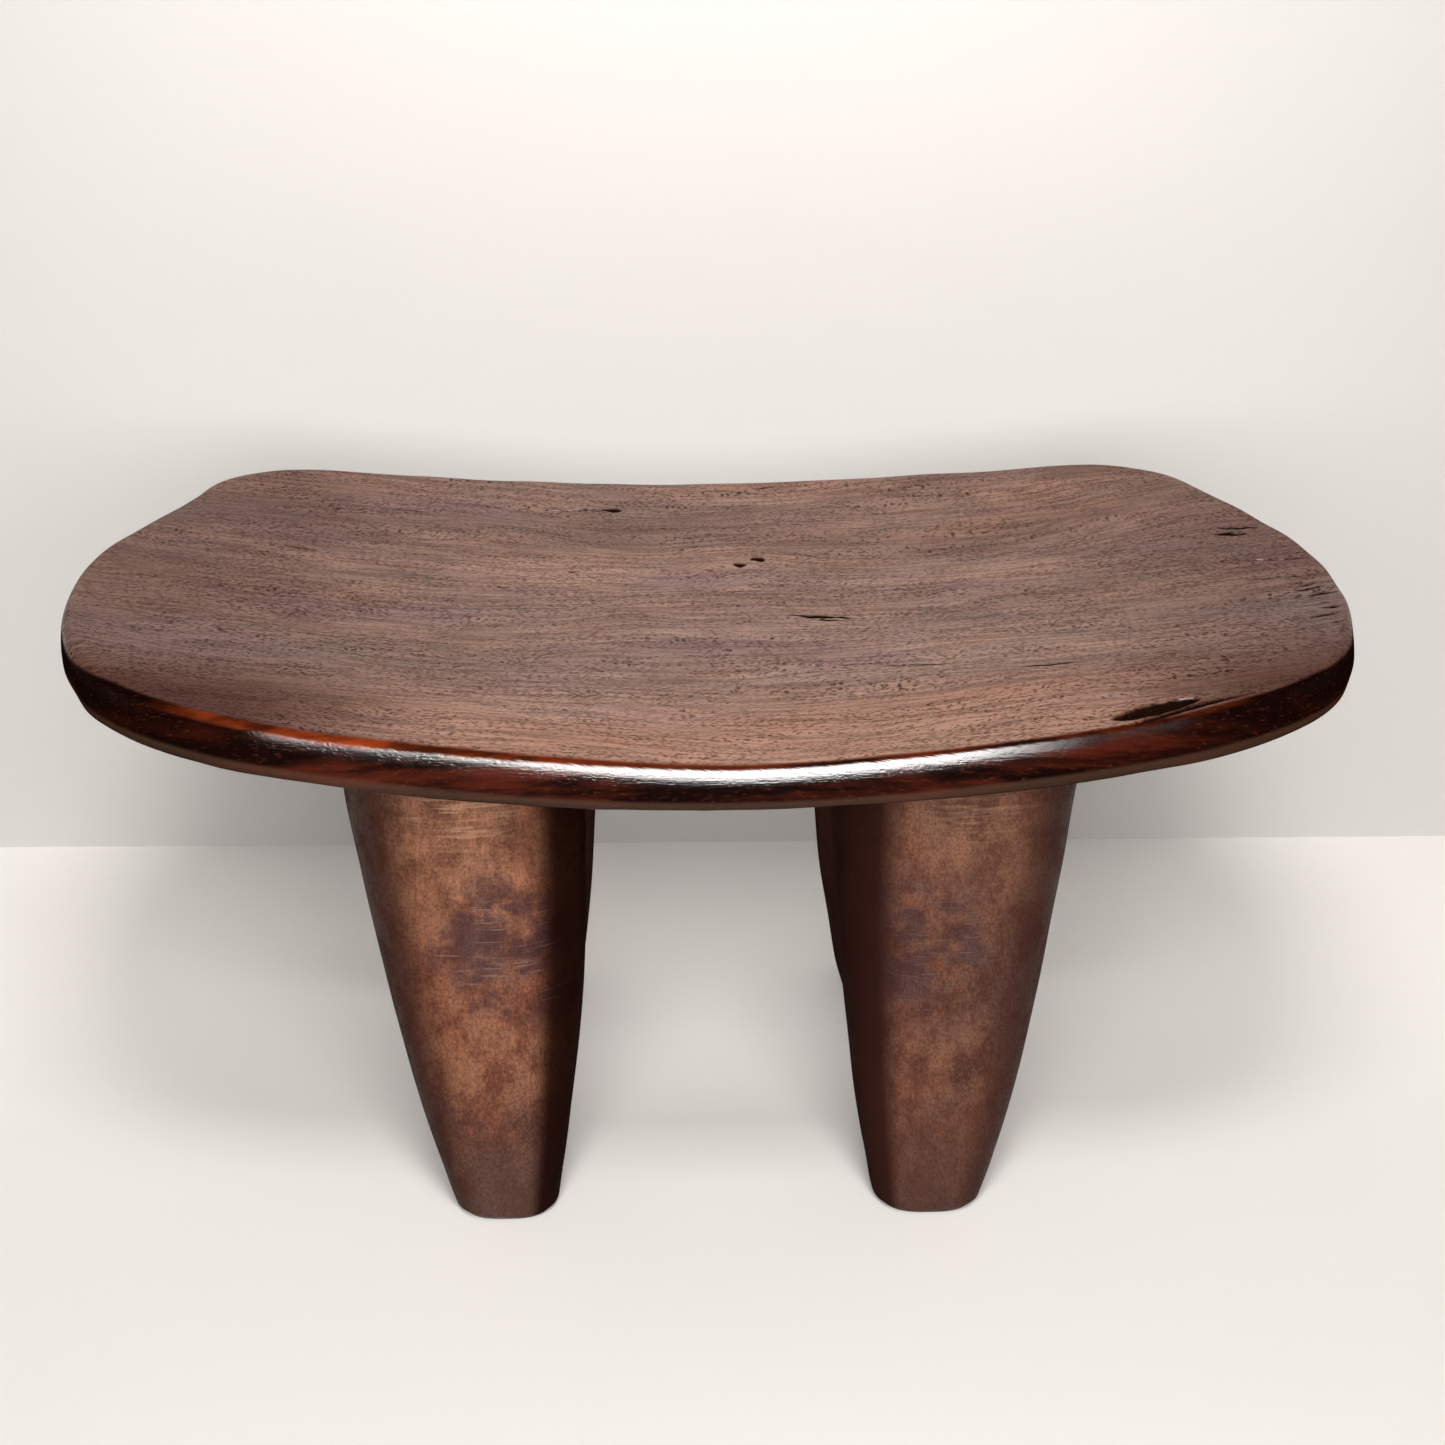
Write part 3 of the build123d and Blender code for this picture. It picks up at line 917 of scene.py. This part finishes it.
def plain_surface(name, colour, roughness, level):
    """Matt paint for the stage, faintly uneven."""
    n = Nodes(name)
    mottle = n.noise(n.place((2.2, 2.2, 2.2)), detail=3)
    dim = tuple(c * 0.97 for c in colour)
    paint = n.mix(n.range(mottle, 0.3, 0.7), rgb(*dim), rgb(*colour))
    fine = n.noise(n.place((160, 160, 160)), detail=2)
    normal = n.bump(fine, distance=0.0004, strength=0.25)
    n.surface(Base_Color=paint, Roughness=roughness, Normal=normal, Specular_IOR_Level=level)
    clear_from_behind(n)
    return n.material


def sheet_of_stage(name, corners, material):
    piece = new_object(name, np.array(corners, dtype=float), [(0, 1, 2, 3)])
    piece.data.materials.append(material)
    return piece


half = STAGE_SIZE / 2
floor = sheet_of_stage(
    "floor", [(-half, -half, 0), (half, -half, 0), (half, half, 0), (-half, half, 0)],
    plain_surface("floor_paint", (0.90, 0.875, 0.845), 0.55, 0.25))
wall = sheet_of_stage(
    "wall", [(-half, 0, 0), (half, 0, 0), (half, 0, WALL_HEIGHT), (-half, 0, WALL_HEIGHT)],
    plain_surface("wall_paint", (0.53, 0.512, 0.497), 0.42, 0.30))
wall.location = (0, WALL_DISTANCE, 0)
wall.rotation_euler = (0, 0, WALL_TURN)


def soft_light(name, place, target, size, power, spread=180, diffuse=True, glossy=True):
    """Rectangular soft light at a place, facing a target."""
    lamp = bpy.data.lights.new(name, "AREA")
    lamp.shape = "RECTANGLE"
    lamp.size, lamp.size_y = size
    lamp.spread = math.radians(spread)
    lamp.energy = power
    lamp.color = LAMP_COLOUR
    holder = bpy.data.objects.new(name, lamp)
    bpy.context.scene.collection.objects.link(holder)
    holder.location = place
    aim = np.array(target, dtype=float) - np.array(place, dtype=float)
    aim /= np.linalg.norm(aim)
    tilt = math.acos(-aim[2])
    holder.rotation_euler = (tilt, 0, math.atan2(-aim[0], aim[1]))
    holder.visible_camera = False
    holder.visible_diffuse = diffuse
    holder.visible_glossy = glossy
    return holder


# A high and a low soft light in front, a wash on the wall and a fill between the legs;
# the one overhead only feeds the gloss
soft_light("front_high", (0, -1.25, 0.95), (0, 0.05, 0.10), (0.80, 0.45), 7.8, glossy=False)
soft_light("front_low", (0, -0.85, 0.34), (0, 0.15, 0.16), (0.70, 0.36), 6.8, glossy=False)
soft_light("wall_wash", (0, -0.55, 0.95), (0, 0.20, 0.36), (0.30, 0.20), 1.6, spread=70, glossy=False)
soft_light("under_fill", (0, -0.02, 0.135), (0, 0.20, 0.08), (0.066, 0.05), 0.13, glossy=False)
soft_light("overhead_gloss", (0.030, -0.14, 0.73), (0.030, -0.14, 0), (0.20, 0.52), 10.5, diffuse=False)

world = bpy.data.worlds.new("room")
world.use_nodes = True
background = world.node_tree.nodes["Background"]
background.inputs["Color"].default_value = (0.80, 0.78, 0.75, 1)
background.inputs["Strength"].default_value = 0.30
bpy.context.scene.world = world
world.cycles_visibility.glossy = False
bpy.context.scene.view_settings.view_transform = "Standard"

# Camera: a little left of the middle, looking down at the seat's front edge
CAMERA_PLACE = (-0.0263, -0.8144, 0.4502)
CAMERA_YAW, CAMERA_PITCH, CAMERA_ROLL = (math.radians(a) for a in (2.18, -21.44, 0.23))
FOCAL_LENGTH = 67.3             # mm, on a 36 mm sensor

camera_data = bpy.data.cameras.new("camera")
camera_data.sensor_width = 36.0
camera_data.lens = FOCAL_LENGTH
camera = bpy.data.objects.new("camera", camera_data)
bpy.context.scene.collection.objects.link(camera)
camera.matrix_world = (
    Matrix.Translation(CAMERA_PLACE)
    @ Matrix.Rotation(-CAMERA_YAW, 4, "Z")
    @ Matrix.Rotation(math.pi / 2 + CAMERA_PITCH, 4, "X")
    @ Matrix.Rotation(CAMERA_ROLL, 4, "Z")
)
bpy.context.scene.camera = camera

bpy.context.view_layer.update()
